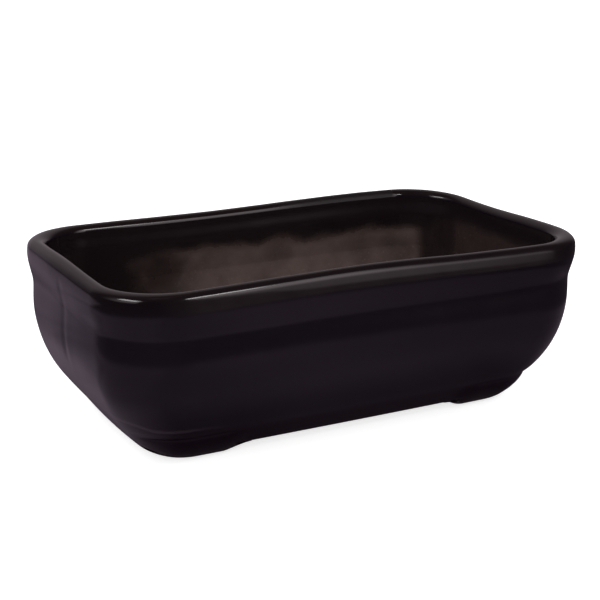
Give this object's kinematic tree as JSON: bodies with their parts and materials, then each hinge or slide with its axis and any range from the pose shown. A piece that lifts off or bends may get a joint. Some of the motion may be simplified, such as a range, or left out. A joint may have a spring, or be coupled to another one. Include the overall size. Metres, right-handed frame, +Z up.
{
  "type": "rectangular planter",
  "caption": "Low rectangular glazed stoneware planter with rounded corners, a thick rim band, a tucked-in belly, floor drain holes and corner feet.",
  "frame": {"origin": "on the ground under the middle of the planter", "axes": "+X along the long sides, +Y along the short sides from front to rear, +Z up out of the mouth"},
  "size_m": [0.2034, 0.117, 0.0693],
  "materials": {
    "tray_glaze": "near-black purple-brown glaze, semi-gloss, bare brown clay on the lower inside",
    "foot_glaze": "near-black purple-brown glaze, thinner and browner at the lower edges, bare soles"
  },
  "bodies": {
    "root": {"pot_body": "tray_glaze", "foot_front_left": "foot_glaze", "foot_front_right": "foot_glaze", "foot_rear_left": "foot_glaze", "foot_rear_right": "foot_glaze"}
  },
  "joints": []
}
